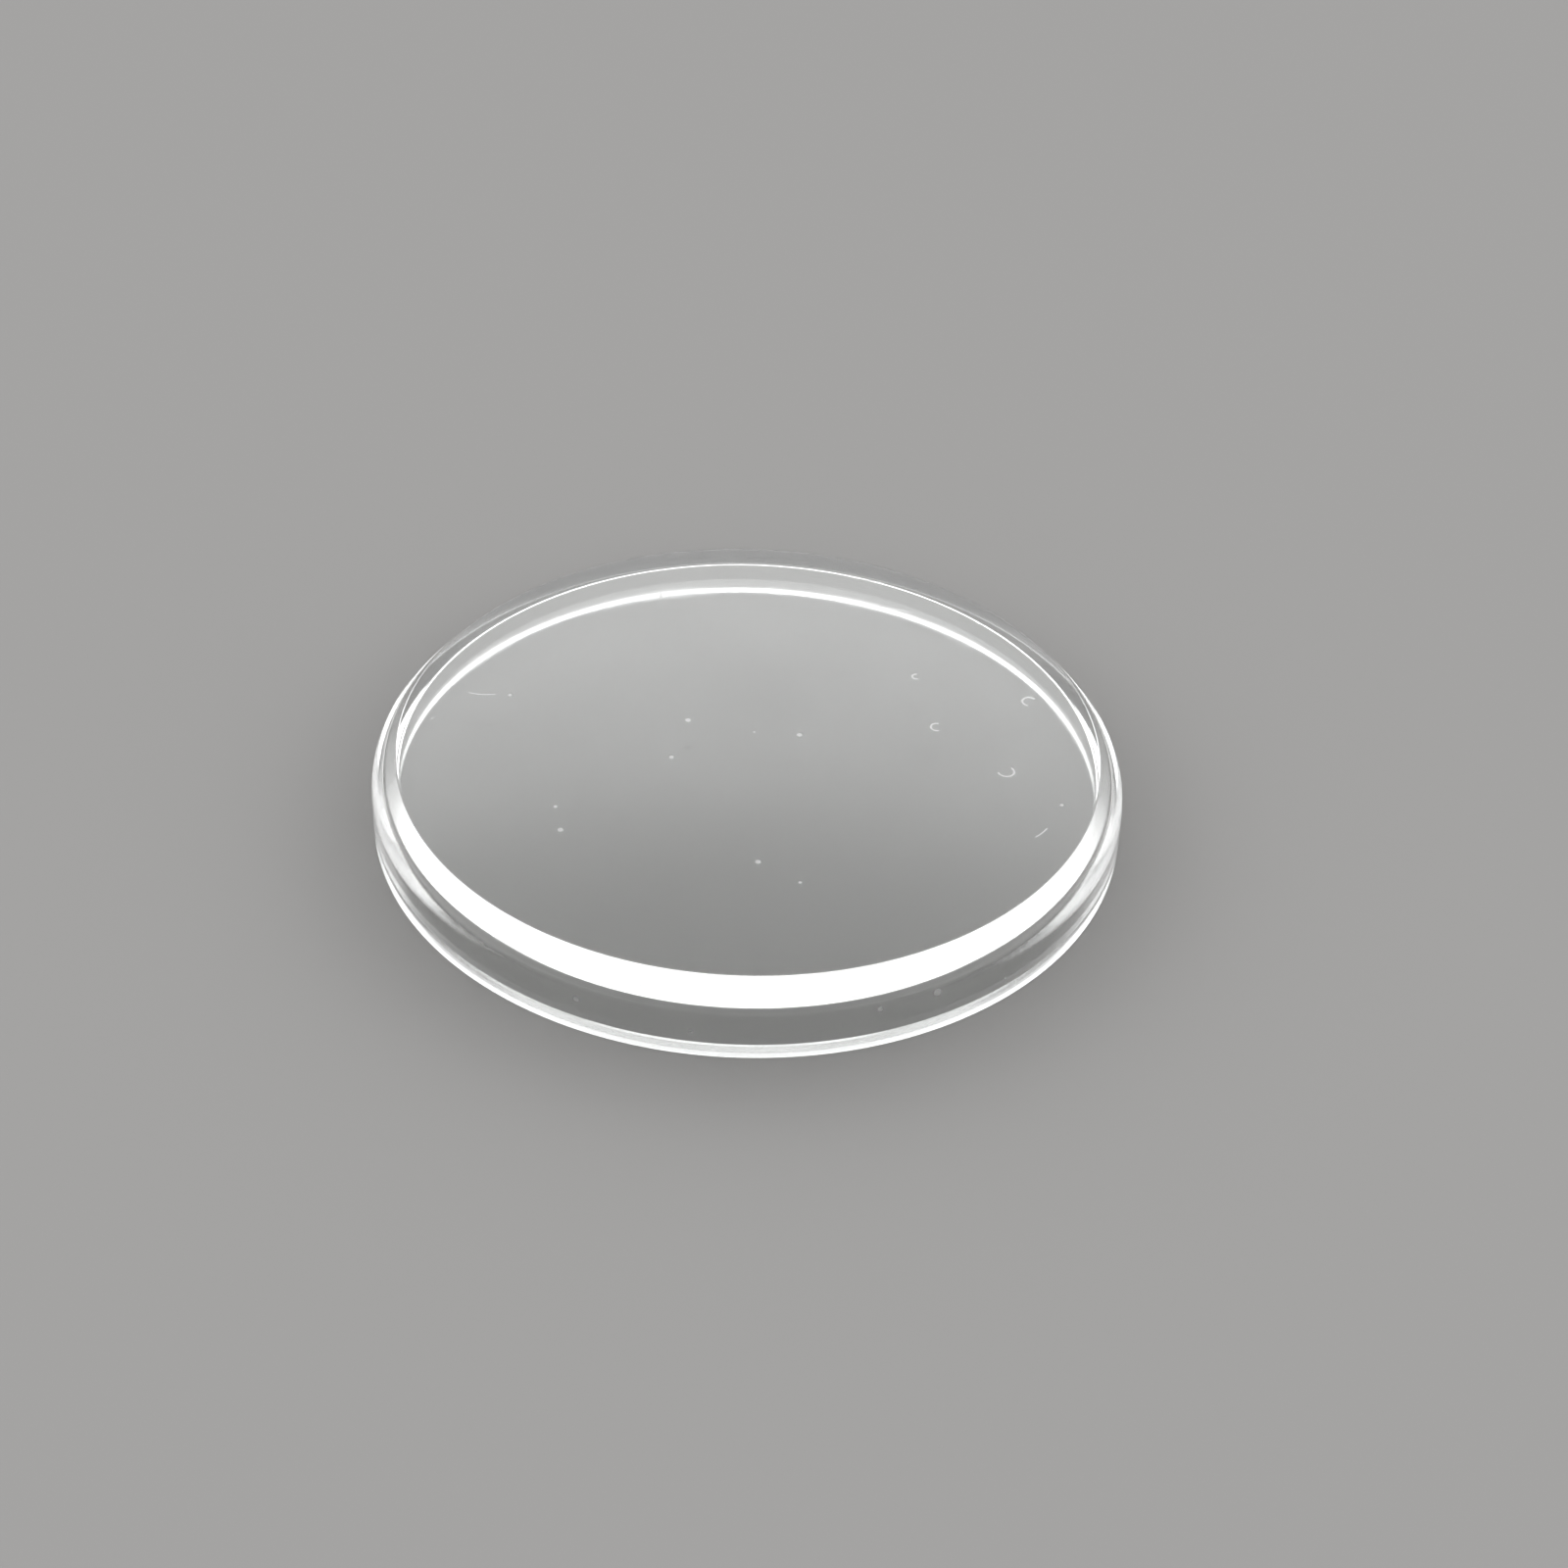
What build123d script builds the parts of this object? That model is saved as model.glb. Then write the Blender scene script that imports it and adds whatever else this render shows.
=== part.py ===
from build123d import *
import math
import os

# A clear watch crystal, moulded in one piece: a shallow cup that stands mouth down on its foot,
# with its polished top up. Everything is turned about one upright axis.
# Lengths are millimetres. +Z is up, and the origin is the centre of the ring that the foot rests on.

# Outside
crystal_diameter = 31.5
top_edge_height = 3.37
crown_rise = 0.15
bevel_width = 1.03
bevel_angle = 48
top_edge_radius = 0.12
bevel_blend_radius = 1.2

# Inside
wall_thickness = 1.05
sheet_thickness = 1.52
ceiling_rise = 0.4
cove_radius = 0.2

# Foot
lead_in_height = 0.6
lead_in_depth = 0.02
foot_bevel_width = 0.42
foot_bevel_height = 0.2
foot_edge_radius = 0.03


def cap_curve(edge_radius, edge_height, rise):
    """One side of a cap: an arc of a sphere centred on the axis, from the cap's edge up to its middle."""
    cap_radius = (edge_radius ** 2 / rise + rise) / 2
    cap_centre = edge_height + rise - cap_radius
    edge_angle = math.degrees(math.atan2(edge_height - cap_centre, edge_radius))
    return CenterArc((0, cap_centre), cap_radius, edge_angle, 90 - edge_angle)


def rounded(section, corner, radius):
    """The section with the corner that lies at a given point rounded."""
    vertex = section.vertices().sort_by_distance(corner)[0]
    return section.fillet_2d(radius, [vertex])


def crystal_section():
    """Half of the cut through the axis, with the radius along X and the height along Y.

    Outside, the domed top ends in a crisp edge and a bevel runs down from it into the upright wall,
    which draws in a little towards the foot, so that the crystal starts easily in its bezel. Inside,
    the wall is upright from a bevel round the mouth to the small cove under the ceiling.
    """
    outer_radius = crystal_diameter / 2
    mouth_radius = outer_radius - wall_thickness
    ceiling_height = top_edge_height + crown_rise - sheet_thickness
    bevel_drop = bevel_width * math.tan(math.radians(bevel_angle))

    top_edge = (outer_radius - bevel_width, top_edge_height)
    bevel_foot = (outer_radius, top_edge_height - bevel_drop)
    lead_in = (outer_radius, lead_in_height)
    foot_outside = (outer_radius - lead_in_depth, 0)
    foot_inside = (mouth_radius + foot_bevel_width, 0)
    mouth = (mouth_radius, foot_bevel_height)
    cove = (mouth_radius, ceiling_height - ceiling_rise)

    crown = cap_curve(*top_edge, crown_rise)
    ceiling = cap_curve(*cove, ceiling_rise)
    walls = Polyline(top_edge, bevel_foot, lead_in, foot_outside, foot_inside, mouth, cove)
    axis_line = Line(ceiling @ 1, crown @ 1)
    section = make_face([crown, ceiling, axis_line] + walls.edges()).face()

    section = rounded(section, top_edge, top_edge_radius)
    section = rounded(section, bevel_foot, bevel_blend_radius)
    section = rounded(section, cove, cove_radius)
    for corner in (foot_outside, foot_inside, mouth):
        section = rounded(section, corner, foot_edge_radius)
    return section


def make_crystal():
    """The whole crystal: its section stood upright and turned once round the axis."""
    return revolve(Plane.XZ * crystal_section(), Axis.Z, 360)


os.makedirs("parts", exist_ok=True)
crystal = make_crystal()
crystal.label = "crystal"
export_step(crystal, "parts/crystal.step")
print("volume mm3", round(crystal.volume, 2), "size", crystal.bounding_box().size)
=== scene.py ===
import math

import bpy
import numpy as np
from mathutils import Matrix, Vector


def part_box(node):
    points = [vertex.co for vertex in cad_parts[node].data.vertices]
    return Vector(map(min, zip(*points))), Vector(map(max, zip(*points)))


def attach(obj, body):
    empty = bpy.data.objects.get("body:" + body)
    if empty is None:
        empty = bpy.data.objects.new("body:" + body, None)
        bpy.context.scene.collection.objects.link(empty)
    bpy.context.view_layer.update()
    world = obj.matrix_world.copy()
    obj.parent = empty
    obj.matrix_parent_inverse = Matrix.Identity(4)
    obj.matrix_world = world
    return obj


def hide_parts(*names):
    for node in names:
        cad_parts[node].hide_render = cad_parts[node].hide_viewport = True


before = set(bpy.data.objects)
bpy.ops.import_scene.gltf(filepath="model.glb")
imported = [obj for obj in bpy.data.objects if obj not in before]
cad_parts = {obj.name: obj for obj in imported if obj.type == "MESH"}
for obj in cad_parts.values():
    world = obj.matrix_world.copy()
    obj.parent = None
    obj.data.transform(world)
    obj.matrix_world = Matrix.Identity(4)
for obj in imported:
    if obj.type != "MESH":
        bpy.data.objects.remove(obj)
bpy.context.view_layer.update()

# A clear acrylic watch crystal, top up on a plain pale floor under a soft sky of light.
# Metres. The crystal is turned about the Z axis and stands on z = 0, as in the frame.

MM = 0.001

# Sizes of the crystal. Its reach and height come from the frame, and the rest are the part's own values.
OUTER_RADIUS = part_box("crystal")[1].x
CRYSTAL_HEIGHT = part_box("crystal")[1].z
CROWN_RISE = 0.15 * MM
BEVEL_WIDTH = 1.03 * MM
BEVEL_ANGLE = math.radians(48)
TOP_EDGE_RADIUS = 0.12 * MM
BEVEL_BLEND_RADIUS = 1.2 * MM
WALL_THICKNESS = 1.05 * MM
SHEET_THICKNESS = 1.52 * MM
CEILING_RISE = 0.4 * MM
COVE_RADIUS = 0.2 * MM
LEAD_IN_HEIGHT = 0.6 * MM
LEAD_IN_DEPTH = 0.02 * MM
FOOT_BEVEL_WIDTH = 0.42 * MM
FOOT_BEVEL_HEIGHT = 0.2 * MM
FOOT_EDGE_RADIUS = 0.03 * MM

TOP_EDGE_HEIGHT = CRYSTAL_HEIGHT - CROWN_RISE
TOP_EDGE_REACH = OUTER_RADIUS - BEVEL_WIDTH
BEVEL_DROP = BEVEL_WIDTH * math.tan(BEVEL_ANGLE)
MOUTH_RADIUS = OUTER_RADIUS - WALL_THICKNESS

# Fineness of the turned mesh
TURN_STEPS = 480
CAP_STEPS = 26
BLEND_STEPS = 24
EDGE_STEPS = 12
FOOT_STEPS = 6
WALL_STEPS = 5

# Marks on the polished top. Each starts with its place in millimetres from the axis, right and rear.
# Then comes a dot's radius, or a curl's radius and the way that its closed side faces, or a fibre's
# length and direction. Lengths are in millimetres and directions in degrees.
DOTS = ((2.1, 0.6, 0.23), (0.5, -7.9, 0.22), (-2.6, 1.4, 0.24), (-3.2, -1.2, 0.2), (-10.2, 2.9, 0.17),
        (-7.5, -6.2, 0.22), (-7.8, -4.7, 0.16), (12.9, -3.5, 0.16), (2.2, -9.1, 0.15), (0.2, 0.7, 0.11))
CURLS = ((7.1, 5.1, 0.18, 190), (7.9, 1.5, 0.26, 180), (11.9, 3.6, 0.3, 150), (10.7, -1.4, 0.34, 300))
FIBRES = ((-11.4, 2.9, 1.3, -4), (12, -5.4, 0.9, 50), (-4.1, 10.7, 0.35, 85))

# Half the width of a curl's and a fibre's line, the part of a mark's radius or half width that is
# solid, the cosine at which a curl opens, and how far from its middle, as a share of its length, a
# fibre starts to fade
CURL_LINE = 0.09 * MM
FIBRE_LINE = 0.06 * MM
SOLID_SHARE = 0.3
CURL_OPENING = -0.35
FIBRE_FADE = 0.42

# Dust on the upright wall: turn round the axis in degrees, then height and radius in millimetres
WALL_DOTS = ((-61, 1.95, 0.3), (-70, 1.9, 0.2), (-114, 1.6, 0.22), (-97, 1.2, 0.12))

# Fine scratches from polishing: direction in degrees, seed, and the noise level over which a run shows.
# The noise that makes them is stretched along one direction, and both noises are in waves per metre.
SCRATCHES = ((12, 1, 0.6), (75, 5, 0.64), (-40, 9, 0.66))
SCRATCH_STRETCH = (90, 1500, 90)
SCRATCH_SOLID = 0.2
RUN_SCALE = 380
RUN_FADE = 0.05

# Specks: the solid part of each
SPECK_SOLID = 0.4

# Rubbed edges: radius and height of the edge's ring, reach of the rubbing, and the noise level over
# which it shows. It is full at RUBBED_LEVEL.
RUBBED_EDGES = ((TOP_EDGE_REACH, TOP_EDGE_HEIGHT, 0.12 * MM, 0.45),
                (OUTER_RADIUS - LEAD_IN_DEPTH, 0, 0.2 * MM, 0.4))
RUBBED_SCALE = 2600
RUBBED_LEVEL = 0.75

# Finger marks: centre (right, rear, up) and radius in millimetres, and turn of the ridges in radians.
# Ridges and blots are in waves per metre, and blots fade in between two noise levels.
FINGER_MARKS = ((-10.2, -12, 1.2, 3.2, 0.7), (7.5, -13.8, 1.4, 2.2, -0.5))
RIDGE_SCALE = 330
RIDGE_BEND = 3
BLOT_SCALE = 700
BLOT_LEVELS = (0.35, 0.7)

# Finish of each kind of wear: roughness, weight of its matt coat, and depth as a share of BUMP_HEIGHT
WEAR_FINISH = {
    "marks": (0.35, 1, 1),
    "scratches": (0.2, 0.04, 0.12),
    "specks": (0.3, 0.3, 0),
    "rubbed edges": (0.25, 0.1, 0.2),
    "finger marks": (0.22, 0.14, 0)}

# The polish between the marks. Handling makes it vary, and the moulded faces wave very gently.
ACRYLIC_TINT = (0.99, 1, 0.995, 1)
ACRYLIC_IOR = 1.491
COAT_ROUGHNESS = 0.5
COAT_IOR = 3
HANDLED_SCALE = 240
HANDLED_LEVELS = (0.3, 0.7)
POLISH_ROUGHNESS = (0.06, 0.13)
WAVE_SCALE = 170
WAVE_SHARE = 0.3
BUMP_HEIGHT = 0.006 * MM

# The photograph's camera, in pixels of its 1600 pixel frame and in outer radii. NEAREST_SEEN is in metres.
FRAME_PIXELS = 1600
FOCAL_PIXELS = 3500
AXIS_FOOT_PIXEL = (762.3, 824.6)
CAMERA_RADII = 9.238
CAMERA_ELEVATION = math.radians(38.05)
CAMERA_ROLL = math.radians(-1.74)
NEAREST_SEEN = 0.01

# Floor and light. The sky's brightness is given at heights above the horizon, in degrees, and
# FRONT_SHARE of it is left at the front.
FLOOR_RADIUS = 3
FLOOR_SIDES = 96
FLOOR_GAP = 0.02 * MM
FLOOR_COLOUR = (0.38, 0.375, 0.37, 1)
FLOOR_ROUGHNESS = 0.7
BACKDROP_COLOUR = (0.4, 0.395, 0.39, 1)
SKY = ((0, 1.3), (10, 1.75), (22, 2.3), (30, 2.6), (38, 2.3), (43, 0.9), (60, 0.6), (90, 0.5))
FRONT_SHARE = 0.45
LIGHT_BOUNCES = 48


def arc_points(centre, radius, start, end, steps):
    """Points of a circle's arc, centre + radius * (cos a, sin a), a from start to end in radians."""
    a = np.linspace(start, end, steps + 1)
    return np.stack([centre[0] + radius * np.cos(a), centre[1] + radius * np.sin(a)], 1)


def line_points(start, end):
    """Evenly spaced points of a straight line of the wall or a bevel, without its start."""
    return np.linspace(start, end, WALL_STEPS + 1)[1:]


def cap_points(edge_reach, edge_height, rise):
    """Half of a cap, from the axis out to its edge.

    It is an arc about a point of the axis, and its radius is (reach^2 / rise + rise) / 2.
    """
    radius = (edge_reach ** 2 / rise + rise) / 2
    middle = edge_height + rise - radius
    edge_angle = math.atan2(edge_height - middle, edge_reach)
    points = arc_points((0, middle), radius, math.pi / 2, edge_angle, CAP_STEPS)
    points[0, 0] = 0
    return points


def rounded_corner(before, corner, after, radius, steps):
    """Arc of a given radius that rounds the corner between two straight lines, and touches both.

    Its centre is on the corner's bisector, at radius / sin(half the corner's angle).
    """
    before, corner, after = (np.array(p, float) for p in (before, corner, after))
    u = (before - corner) / np.linalg.norm(before - corner)
    v = (after - corner) / np.linalg.norm(after - corner)
    half = math.acos(float(np.clip(u @ v, -1, 1))) / 2
    bisector = (u + v) / np.linalg.norm(u + v)
    centre = corner + bisector * radius / math.sin(half)
    first = corner + u * radius / math.tan(half)
    last = corner + v * radius / math.tan(half)
    start = math.atan2(*(first - centre)[::-1])
    end = math.atan2(*(last - centre)[::-1])
    turn = (end - start + math.pi) % (2 * math.pi) - math.pi
    return arc_points(centre, radius, start, start + turn, steps)


def crystal_outline():
    """Half outline (radius, height), from the top's middle round the foot to the ceiling's middle.

    Every corner from the top edge to the cove is rounded by its own radius, and straight lines join them.
    """
    crown = cap_points(TOP_EDGE_REACH, TOP_EDGE_HEIGHT, CROWN_RISE)
    ceiling_edge_height = CRYSTAL_HEIGHT - SHEET_THICKNESS - CEILING_RISE
    ceiling = cap_points(MOUTH_RADIUS, ceiling_edge_height, CEILING_RISE)[::-1]
    corners = [
        (crown[-1], TOP_EDGE_RADIUS, EDGE_STEPS),
        ((OUTER_RADIUS, TOP_EDGE_HEIGHT - BEVEL_DROP), BEVEL_BLEND_RADIUS, BLEND_STEPS),
        ((OUTER_RADIUS, LEAD_IN_HEIGHT), FOOT_EDGE_RADIUS, FOOT_STEPS),
        ((OUTER_RADIUS - LEAD_IN_DEPTH, 0), FOOT_EDGE_RADIUS, FOOT_STEPS),
        ((MOUTH_RADIUS + FOOT_BEVEL_WIDTH, 0), FOOT_EDGE_RADIUS, FOOT_STEPS),
        ((MOUTH_RADIUS, FOOT_BEVEL_HEIGHT), FOOT_EDGE_RADIUS, FOOT_STEPS),
        (ceiling[0], COVE_RADIUS, EDGE_STEPS)]
    path = [crown[-2]] + [corner for corner, radius, steps in corners] + [ceiling[1]]
    pieces = [crown[:-1]]
    for before, (corner, radius, steps), after in zip(path, corners, path[2:]):
        edge = rounded_corner(before, corner, after, radius, steps)
        pieces.append(line_points(pieces[-1][-1], edge[0]))
        pieces.append(edge[1:])
    pieces.append(line_points(pieces[-1][-1], ceiling[1]))
    pieces.append(ceiling[2:])
    return np.vstack(pieces)


def outline_normals(outline):
    """Outward normal at each point of the outline, square to the line between its two neighbours."""
    chord = outline[2:] - outline[:-2]
    normal = np.stack([-chord[:, 1], chord[:, 0]], 1)
    normal = normal / np.linalg.norm(normal, axis=1)[:, None]
    outward = np.sign(normal[0, 1])
    return np.vstack([[(0, 1)], normal * outward, [(0, -1)]])


def turned(outline, normals, steps):
    """Surface of turning: point (i, j) is (r_i cos t_j, r_i sin t_j, z_i), with one point at each pole."""
    t = np.arange(steps) * 2 * math.pi / steps
    ring = np.stack([np.cos(t), np.sin(t)], 1)
    inner = slice(1, -1)

    def carried(values, pole_first, pole_last):
        flat = values[inner, None, 0, None] * ring[None]
        up = np.broadcast_to(values[inner, None, 1, None], flat.shape[:2] + (1,))
        return np.vstack([[pole_first], np.concatenate([flat, up], 2).reshape(-1, 3), [pole_last]])

    points = carried(outline, (0, 0, outline[0, 1]), (0, 0, outline[-1, 1]))
    directions = carried(normals, (0, 0, 1), (0, 0, -1))
    rows = len(outline) - 2
    grid = 1 + np.arange(rows * steps).reshape(rows, steps)
    here, across = grid[:-1], np.roll(grid, -1, 1)[:-1]
    below, below_across = grid[1:], np.roll(grid, -1, 1)[1:]
    quads = np.stack([here, below, below_across, across], -1).reshape(-1, 4)
    first = np.stack([np.zeros(steps, int), grid[0], np.roll(grid[0], -1)], 1)
    last = np.stack([np.full(steps, len(points) - 1), np.roll(grid[-1], -1), grid[-1]], 1)
    return points, directions, quads, np.vstack([first, last])


def crystal_mesh():
    """The crystal's mesh, with the outline's own normals for a smooth polish."""
    outline = crystal_outline()
    points, directions, quads, fans = turned(outline, outline_normals(outline), TURN_STEPS)
    mesh = bpy.data.meshes.new("crystal_body")
    mesh.from_pydata(points, [], fans.tolist() + quads.tolist())
    mesh.polygons.foreach_set("use_smooth", np.ones(len(mesh.polygons), bool))
    mesh.normals_split_custom_set_from_vertices(directions)
    mesh.update()
    return mesh


def place_node(tree, kind, *inputs, **options):
    """Adds a node, sets its options, and feeds its inputs in order with numbers or other outputs."""
    node = tree.nodes.new("ShaderNode" + kind)
    for name, value in options.items():
        setattr(node, name, value)
    for socket, value in zip(node.inputs, inputs):
        if isinstance(value, bpy.types.NodeSocket):
            tree.links.new(value, socket)
        elif value is not None:
            socket.default_value = value
    return node


def maths(tree, operation, *inputs):
    return place_node(tree, "Math", *inputs, operation=operation).outputs[0]


def vector_maths(tree, operation, *inputs):
    return place_node(tree, "VectorMath", *inputs, operation=operation).outputs[0]


def length_of(tree, vector):
    return place_node(tree, "VectorMath", vector, operation="LENGTH").outputs["Value"]


def split(tree, vector):
    """A vector's three parts, named X, Y and Z."""
    return place_node(tree, "SeparateXYZ", vector).outputs


def joined(tree, x, y, z):
    return place_node(tree, "CombineXYZ", x, y, z).outputs[0]


def turned_back(tree, vector, angle):
    """A vector turned about the upright axis."""
    node = place_node(tree, "VectorRotate", vector, rotation_type="Z_AXIS")
    tree.links.new(angle, node.inputs["Angle"])
    return node.outputs[0]


def noise(tree, position, scale, detail):
    """Soft noise with about scale waves to the metre, and finer ones added where detail is over 0."""
    return place_node(tree, "TexNoise", position, None, scale, detail).outputs["Fac"]


def seeded_noise(tree, position, seed, scale, detail):
    """The same noise, with a pattern of its own for each seed."""
    return place_node(tree, "TexNoise", position, seed, scale, detail, noise_dimensions="4D").outputs["Fac"]


def rise_between(tree, value, low, high):
    """0 at low and before, 1 at high and past it, with a smooth rise between. High may be under low."""
    return place_node(tree, "MapRange", value, low, high, interpolation_type="SMOOTHSTEP").outputs[0]


def within(tree, distance, reach, solid):
    """1 up to a solid share of the reach, falling smoothly to 0 at the reach."""
    return rise_between(tree, maths(tree, "DIVIDE", distance, reach), 1, solid)


def most_of(tree, masks):
    """The largest of several masks at each point."""
    most = masks[0]
    for mask in masks[1:]:
        most = maths(tree, "MAXIMUM", most, mask)
    return most


def new_group(name, inputs):
    """An empty node group that puts out one mask. Its inputs are given as name: (socket type, value)."""
    tree = bpy.data.node_groups.new(name, "ShaderNodeTree")
    for label, (kind, value) in inputs.items():
        socket = tree.interface.new_socket(name=label, in_out="INPUT", socket_type="NodeSocket" + kind)
        socket.default_value = value
    tree.interface.new_socket(name="Mask", in_out="OUTPUT", socket_type="NodeSocketFloat")
    return tree, tree.nodes.new("NodeGroupInput").outputs


def end_group(tree, mask):
    tree.links.new(mask, tree.nodes.new("NodeGroupOutput").inputs["Mask"])
    return tree


def mask_from(tree, group, **inputs):
    """Places a group in a material, sets its inputs by name and returns its mask. _ stands for a space."""
    node = tree.nodes.new("ShaderNodeGroup")
    node.node_tree = group
    for name, value in inputs.items():
        socket = node.inputs[name.replace("_", " ")]
        if isinstance(value, bpy.types.NodeSocket):
            tree.links.new(value, socket)
        else:
            socket.default_value = value
    return node.outputs["Mask"]


def curl_group():
    """An open ring round a centre, or a dot where its radius is 0. Facing turns the ring's closed side.

    The distance from the centre is measured level, and also up and down where Depth is 1. The ring is
    drawn where the cosine of the turn from Facing is over Opening.
    """
    tree, given = new_group("curl_mark", {
        "Position": ("Vector", (0, 0, 0)), "Centre": ("Vector", (0, 0, 0)), "Radius": ("Float", 0.0),
        "Line": ("Float", 0.00005), "Facing": ("Float", 0.0), "Opening": ("Float", -2.0),
        "Depth": ("Float", 0.0)})
    offset = vector_maths(tree, "SUBTRACT", given["Position"], given["Centre"])
    flat = vector_maths(tree, "MULTIPLY", offset, joined(tree, 1, 1, given["Depth"]))
    miss = maths(tree, "ABSOLUTE", maths(tree, "SUBTRACT", length_of(tree, flat), given["Radius"]))
    on_line = within(tree, miss, given["Line"], SOLID_SHARE)
    aim = joined(tree, maths(tree, "COSINE", given["Facing"]), maths(tree, "SINE", given["Facing"]), 0)
    heading = vector_maths(tree, "NORMALIZE", flat)
    turn = place_node(tree, "VectorMath", heading, aim, operation="DOT_PRODUCT").outputs["Value"]
    closed = maths(tree, "GREATER_THAN", turn, given["Opening"])
    return end_group(tree, maths(tree, "MULTIPLY", on_line, closed))


def fibre_group():
    """A short, slightly bowed hair line.

    It is where |v - bow u^2| is under the line's half width, for |u| under half its length.
    """
    tree, given = new_group("fibre_mark", {
        "Position": ("Vector", (0, 0, 0)), "Centre": ("Vector", (0, 0, 0)), "Length": ("Float", 0.001),
        "Line": ("Float", 0.00003), "Angle": ("Float", 0.0), "Bow": ("Float", 250.0)})
    offset = vector_maths(tree, "SUBTRACT", given["Position"], given["Centre"])
    along = split(tree, turned_back(tree, offset, maths(tree, "MULTIPLY", given["Angle"], -1)))
    sag = maths(tree, "MULTIPLY", maths(tree, "MULTIPLY", along["X"], along["X"]), given["Bow"])
    miss = maths(tree, "ABSOLUTE", maths(tree, "SUBTRACT", along["Y"], sag))
    on_line = within(tree, miss, given["Line"], SOLID_SHARE)
    reach = maths(tree, "DIVIDE", maths(tree, "ABSOLUTE", along["X"]), given["Length"])
    return end_group(tree, maths(tree, "MULTIPLY", on_line, rise_between(tree, reach, 0.5, FIBRE_FADE)))


def hairline_group():
    """Fine polishing scratches: middle level lines of a stretched noise, broken into short runs."""
    tree, given = new_group("hairlines", {
        "Position": ("Vector", (0, 0, 0)), "Angle": ("Float", 0.0), "Seed": ("Float", 0.0),
        "Line": ("Float", 0.012), "Share": ("Float", 0.55)})
    along = turned_back(tree, given["Position"], given["Angle"])
    stretched = vector_maths(tree, "MULTIPLY", along, SCRATCH_STRETCH)
    lines = seeded_noise(tree, stretched, given["Seed"], 1, 0)
    level = maths(tree, "ABSOLUTE", maths(tree, "SUBTRACT", lines, 0.5))
    on_line = within(tree, level, given["Line"], SCRATCH_SOLID)
    runs = seeded_noise(tree, given["Position"], given["Seed"], RUN_SCALE, 1)
    kept = rise_between(tree, maths(tree, "SUBTRACT", runs, given["Share"]), 0, RUN_FADE)
    return end_group(tree, maths(tree, "MULTIPLY", on_line, kept))


def speck_group():
    """Scattered specks: a dot in the middle of some cells of a Voronoi pattern.

    Share of the cells have one, chosen by the cell's own shade.
    """
    tree, given = new_group("specks", {
        "Position": ("Vector", (0, 0, 0)), "Cells": ("Float", 500.0), "Size": ("Float", 0.04),
        "Share": ("Float", 0.3)})
    cells = place_node(tree, "TexVoronoi", given["Position"], None, given["Cells"])
    dot = within(tree, cells.outputs["Distance"], given["Size"], SPECK_SOLID)
    shade = split(tree, cells.outputs["Color"])["X"]
    chosen = maths(tree, "LESS_THAN", shade, given["Share"])
    return end_group(tree, maths(tree, "MULTIPLY", dot, chosen))


def edge_wear_group():
    """Rubbing along an edge: a band round a ring of given radius and height, broken by noise.

    The distance from the ring is sqrt((r - ring radius)^2 + (z - ring height)^2).
    """
    tree, given = new_group("edge_wear", {
        "Position": ("Vector", (0, 0, 0)), "Ring Radius": ("Float", 0.015), "Ring Height": ("Float", 0.0),
        "Reach": ("Float", 0.0004), "Share": ("Float", 0.5)})
    place = split(tree, given["Position"])
    radius = length_of(tree, joined(tree, place["X"], place["Y"], 0))
    across = maths(tree, "SUBTRACT", radius, given["Ring Radius"])
    up = maths(tree, "SUBTRACT", place["Z"], given["Ring Height"])
    squares = maths(tree, "ADD", maths(tree, "MULTIPLY", across, across), maths(tree, "MULTIPLY", up, up))
    near = within(tree, maths(tree, "SQRT", squares), given["Reach"], 0)
    patches = noise(tree, given["Position"], RUBBED_SCALE, 3)
    shown = rise_between(tree, patches, given["Share"], RUBBED_LEVEL)
    return end_group(tree, maths(tree, "MULTIPLY", near, shown))


def fingerprint_group():
    """A smudge with ridges: parallel bands bent by noise, inside a soft patch round a centre."""
    tree, given = new_group("fingerprint", {
        "Position": ("Vector", (0, 0, 0)), "Centre": ("Vector", (0, 0, 0)), "Size": ("Float", 0.003),
        "Ridge Angle": ("Float", 0.3)})
    offset = vector_maths(tree, "SUBTRACT", given["Position"], given["Centre"])
    patch = within(tree, length_of(tree, offset), given["Size"], SOLID_SHARE)
    along = turned_back(tree, offset, given["Ridge Angle"])
    wave = place_node(
        tree, "TexWave", along, RIDGE_SCALE, RIDGE_BEND, 1, wave_type="BANDS", bands_direction="X")
    blots = rise_between(tree, noise(tree, given["Position"], BLOT_SCALE, 2), *BLOT_LEVELS)
    ridges = maths(tree, "MULTIPLY", wave.outputs["Fac"], blots)
    return end_group(tree, maths(tree, "MULTIPLY", patch, ridges))


def wall_marks(tree, position, curl):
    """A mask for each speck of dust that sticks to the outside of the wall."""
    masks = []
    for turn, height, size in WALL_DOTS:
        angle = math.radians(turn)
        spot = (OUTER_RADIUS * math.cos(angle), OUTER_RADIUS * math.sin(angle), height * MM)
        masks.append(mask_from(tree, curl, Position=position, Centre=spot, Line=size * MM, Depth=1))
    return masks


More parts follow.
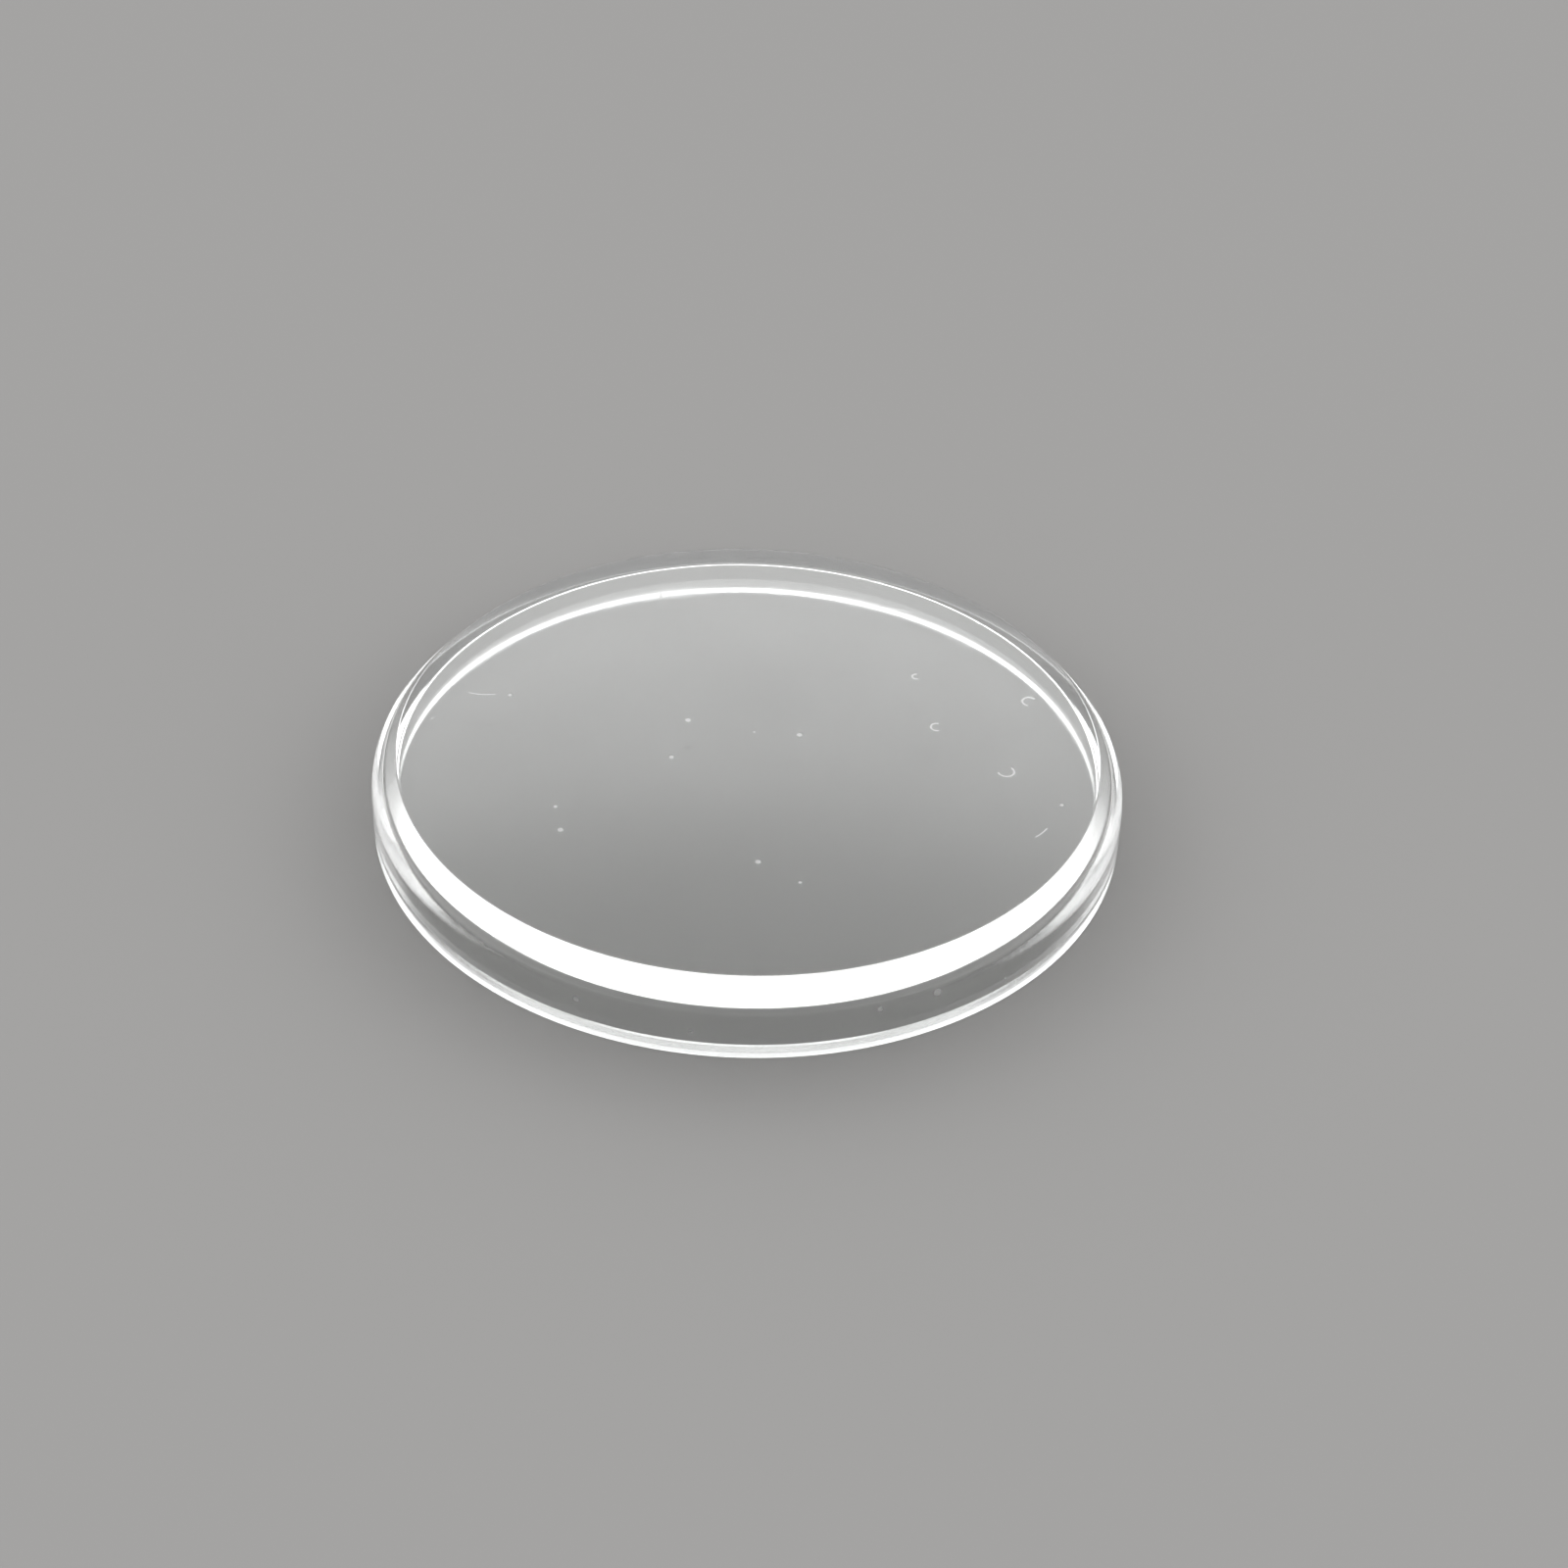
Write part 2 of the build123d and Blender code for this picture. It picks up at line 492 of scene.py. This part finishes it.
def top_marks(tree, position, curl):
    """All the separate marks on the polished top, as one mask that ends at the top's edge."""
    fibre = fibre_group()
    masks = []
    for right, rear, size in DOTS:
        spot = (right * MM, rear * MM, 0)
        masks.append(mask_from(tree, curl, Position=position, Centre=spot, Line=size * MM))
    for right, rear, radius, facing in CURLS:
        spot = (right * MM, rear * MM, 0)
        masks.append(mask_from(tree, curl, Position=position, Centre=spot, Radius=radius * MM, Line=CURL_LINE,
                               Facing=math.radians(facing), Opening=CURL_OPENING))
    for right, rear, length, angle in FIBRES:
        spot = (right * MM, rear * MM, 0)
        masks.append(mask_from(tree, fibre, Position=position, Centre=spot, Length=length * MM,
                               Line=FIBRE_LINE, Angle=math.radians(angle)))
    height = split(tree, position)["Z"]
    on_top = rise_between(tree, height, TOP_EDGE_HEIGHT - TOP_EDGE_RADIUS, TOP_EDGE_HEIGHT)
    return maths(tree, "MULTIPLY", most_of(tree, masks), on_top)


def wear_masks(tree, position):
    """A mask for each kind of wear, by its name in WEAR_FINISH."""
    curl, hairline = curl_group(), hairline_group()
    edge, print_mark = edge_wear_group(), fingerprint_group()
    scratches = [
        mask_from(tree, hairline, Position=position, Angle=math.radians(angle), Seed=seed, Share=share)
        for angle, seed, share in SCRATCHES]
    rubbed = [
        mask_from(tree, edge, Position=position, Ring_Radius=radius, Ring_Height=height,
                  Reach=reach, Share=share)
        for radius, height, reach, share in RUBBED_EDGES]
    prints = [
        mask_from(tree, print_mark, Position=position, Centre=(right * MM, rear * MM, up * MM),
                  Size=size * MM, Ridge_Angle=turn)
        for right, rear, up, size, turn in FINGER_MARKS]
    return {
        "marks": most_of(tree, [top_marks(tree, position, curl)] + wall_marks(tree, position, curl)),
        "scratches": most_of(tree, scratches),
        "specks": mask_from(tree, speck_group(), Position=position),
        "rubbed edges": most_of(tree, rubbed),
        "finger marks": most_of(tree, prints)}


def clear_acrylic():
    """Clear polished acrylic with light wear.

    Where it is worn it is rougher than the polish and has a thin matt coat. Marks, scratches and rubbed
    edges are also slightly sunk, and the moulded faces wave very gently.
    """
    material = bpy.data.materials.new("clear_acrylic")
    material.use_nodes = True
    tree = material.node_tree
    shader = tree.nodes["Principled BSDF"]
    position = place_node(tree, "TexCoord").outputs["Object"]

    handled = noise(tree, position, HANDLED_SCALE, 4)
    roughness = [place_node(tree, "MapRange", handled, *HANDLED_LEVELS, *POLISH_ROUGHNESS).outputs[0]]
    coat = []
    height = maths(tree, "MULTIPLY", noise(tree, position, WAVE_SCALE, 1), WAVE_SHARE)
    for kind, mask in wear_masks(tree, position).items():
        rough_level, coat_level, depth = WEAR_FINISH[kind]
        roughness.append(maths(tree, "MULTIPLY", mask, rough_level))
        coat.append(maths(tree, "MULTIPLY", mask, coat_level))
        if depth:
            height = maths(tree, "SUBTRACT", height, maths(tree, "MULTIPLY", mask, depth))
    bump = place_node(tree, "Bump")
    bump.inputs["Distance"].default_value = BUMP_HEIGHT
    tree.links.new(height, bump.inputs["Height"])

    tree.links.new(most_of(tree, roughness), shader.inputs["Roughness"])
    tree.links.new(most_of(tree, coat), shader.inputs["Coat Weight"])
    tree.links.new(bump.outputs["Normal"], shader.inputs["Normal"])
    shader.inputs["Coat Roughness"].default_value = COAT_ROUGHNESS
    shader.inputs["Coat IOR"].default_value = COAT_IOR
    shader.inputs["Base Color"].default_value = ACRYLIC_TINT
    shader.inputs["IOR"].default_value = ACRYLIC_IOR
    shader.inputs["Transmission Weight"].default_value = 1
    return material


def make_crystal():
    piece = bpy.data.objects.new("crystal_body", crystal_mesh())
    bpy.context.scene.collection.objects.link(piece)
    piece.data.materials.append(clear_acrylic())
    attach(piece, "root")
    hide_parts("crystal")


def make_floor():
    """Plain floor, a hair below the foot, so that air stays under it."""
    bpy.ops.mesh.primitive_circle_add(
        vertices=FLOOR_SIDES, radius=FLOOR_RADIUS, fill_type="NGON", location=(0, 0, -FLOOR_GAP))
    floor = bpy.context.object
    floor.name = "floor"
    material = bpy.data.materials.new("floor")
    material.use_nodes = True
    shader = material.node_tree.nodes["Principled BSDF"]
    shader.inputs["Base Color"].default_value = FLOOR_COLOUR
    shader.inputs["Roughness"].default_value = FLOOR_ROUGHNESS
    shader.inputs["Specular IOR Level"].default_value = 0
    floor.data.materials.append(material)


def make_sky():
    """Soft light from all round, brightest a third of the way up and towards the rear.

    The camera sees a plain backdrop in its place.
    """
    world = bpy.data.worlds.new("studio")
    bpy.context.scene.world = world
    world.use_nodes = True
    tree = world.node_tree
    direction = split(tree, place_node(tree, "TexCoord").outputs["Generated"])
    height = maths(tree, "DIVIDE", maths(tree, "ARCSINE", direction["Z"]), math.pi / 2)
    ramp = place_node(tree, "ValToRGB", height)
    top = max(level for angle, level in SKY)
    stops = ramp.color_ramp.elements
    while len(stops) < len(SKY):
        stops.new(0.5)
    for stop, (angle, level) in zip(stops, SKY):
        stop.position = angle / 90
        stop.color = (level / top, level / top, level / top, 1)
    to_rear = place_node(tree, "MapRange", direction["Y"], -1, 1, FRONT_SHARE, 1).outputs[0]
    light = tree.nodes["Background"]
    tree.links.new(ramp.outputs["Color"], light.inputs["Color"])
    tree.links.new(maths(tree, "MULTIPLY", to_rear, top), light.inputs["Strength"])
    backdrop = place_node(tree, "Background", BACKDROP_COLOUR, 1)
    by_camera = place_node(tree, "LightPath").outputs["Is Camera Ray"]
    seen = place_node(tree, "MixShader", by_camera, light.outputs[0], backdrop.outputs[0])
    tree.links.new(seen.outputs[0], tree.nodes["World Output"].inputs["Surface"])


def make_camera():
    """Camera of the photograph, aimed so that the foot of the axis falls on its pixel."""
    data = bpy.data.cameras.new("camera")
    data.angle = 2 * math.atan(FRAME_PIXELS / 2 / FOCAL_PIXELS)
    data.clip_start = NEAREST_SEEN
    camera = bpy.data.objects.new("camera", data)
    bpy.context.scene.collection.objects.link(camera)
    bpy.context.scene.camera = camera
    flat, rise = math.cos(CAMERA_ELEVATION), math.sin(CAMERA_ELEVATION)
    place = OUTER_RADIUS * CAMERA_RADII * Vector((0, -flat, rise))
    look = (-place).to_track_quat("-Z", "Y").to_matrix()
    middle = FRAME_PIXELS / 2
    off_axis = Vector((AXIS_FOOT_PIXEL[0] - middle, middle - AXIS_FOOT_PIXEL[1], -FOCAL_PIXELS))
    aim = off_axis.rotation_difference(Vector((0, 0, -1))).to_matrix()
    roll = Matrix.Rotation(-CAMERA_ROLL, 3, "Z")
    camera.matrix_world = Matrix.Translation(place) @ (look @ roll @ aim).to_4x4()


def let_light_through():
    """Light that runs round inside the clear rim needs more turns than the usual limit."""
    cycles = bpy.context.scene.cycles
    cycles.max_bounces = LIGHT_BOUNCES
    cycles.glossy_bounces = LIGHT_BOUNCES
    cycles.transmission_bounces = LIGHT_BOUNCES


make_crystal()
make_floor()
make_sky()
make_camera()
let_light_through()
bpy.context.scene.view_settings.view_transform = "Standard"
